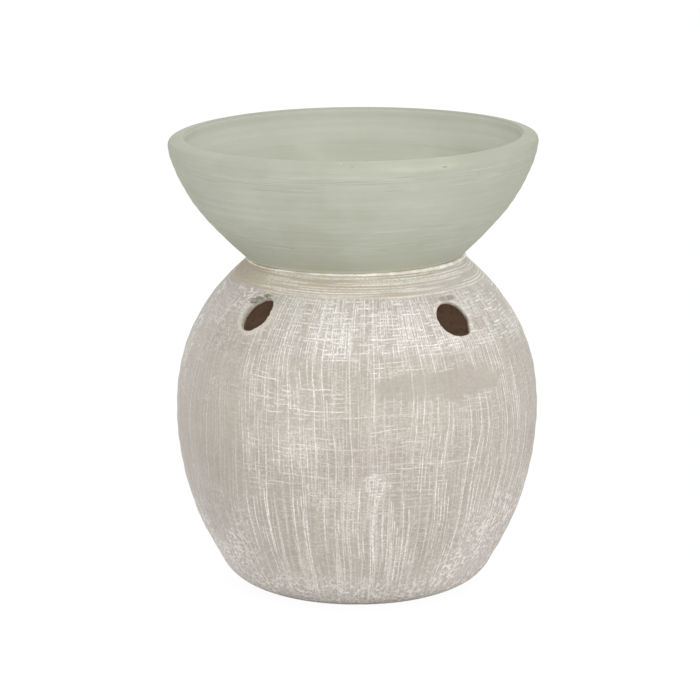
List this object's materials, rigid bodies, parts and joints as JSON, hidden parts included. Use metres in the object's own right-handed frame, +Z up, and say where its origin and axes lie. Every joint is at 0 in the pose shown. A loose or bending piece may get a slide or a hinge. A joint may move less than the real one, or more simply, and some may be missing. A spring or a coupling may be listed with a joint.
{
  "type": "essential oil burner",
  "caption": "Round whitewashed terracotta pot with an arched doorway and air vents, an open painted dish luted onto its neck, and a tea light that slides in at the back.",
  "frame": {"origin": "middle of the flat foot, at the level of the surface that it stands on, on the pot's axis", "axes": "+Z up along the pot's axis; -Y is the front, where two air vents show; +Y is the back, where the doorway is; +X to the right seen from the front"},
  "size_m": [0.1102, 0.11, 0.1368],
  "materials": {
    "whitewashed_terracotta": "unglazed earthenware with a brushed, broken whitewash over taupe, bare reddish clay inside",
    "sage_painted_terracotta": "chalky matte sage green paint on unglazed earthenware",
    "white_slip": "rough dry white slip",
    "pressed_aluminium": "thin pressed sheet",
    "paraffin_wax": "waxy, slightly translucent",
    "cotton_wick": "braided and waxed",
    "tinned_steel": "bright thin sheet"
  },
  "bodies": {
    "burner": {"pot": "whitewashed_terracotta", "pot_base": "whitewashed_terracotta", "dish": "sage_painted_terracotta", "luting_slip": "white_slip"},
    "tealight": {"tealight_cup": "pressed_aluminium", "tealight_wax": "paraffin_wax", "wick_sustainer": "tinned_steel", "wick": "cotton_wick"}
  },
  "joints": [
    {"name": "tealight_slide", "type": "slide", "parent": "burner", "child": "tealight", "axis": [0, 1, 0], "range_m": [0, 0.08]}
  ]
}
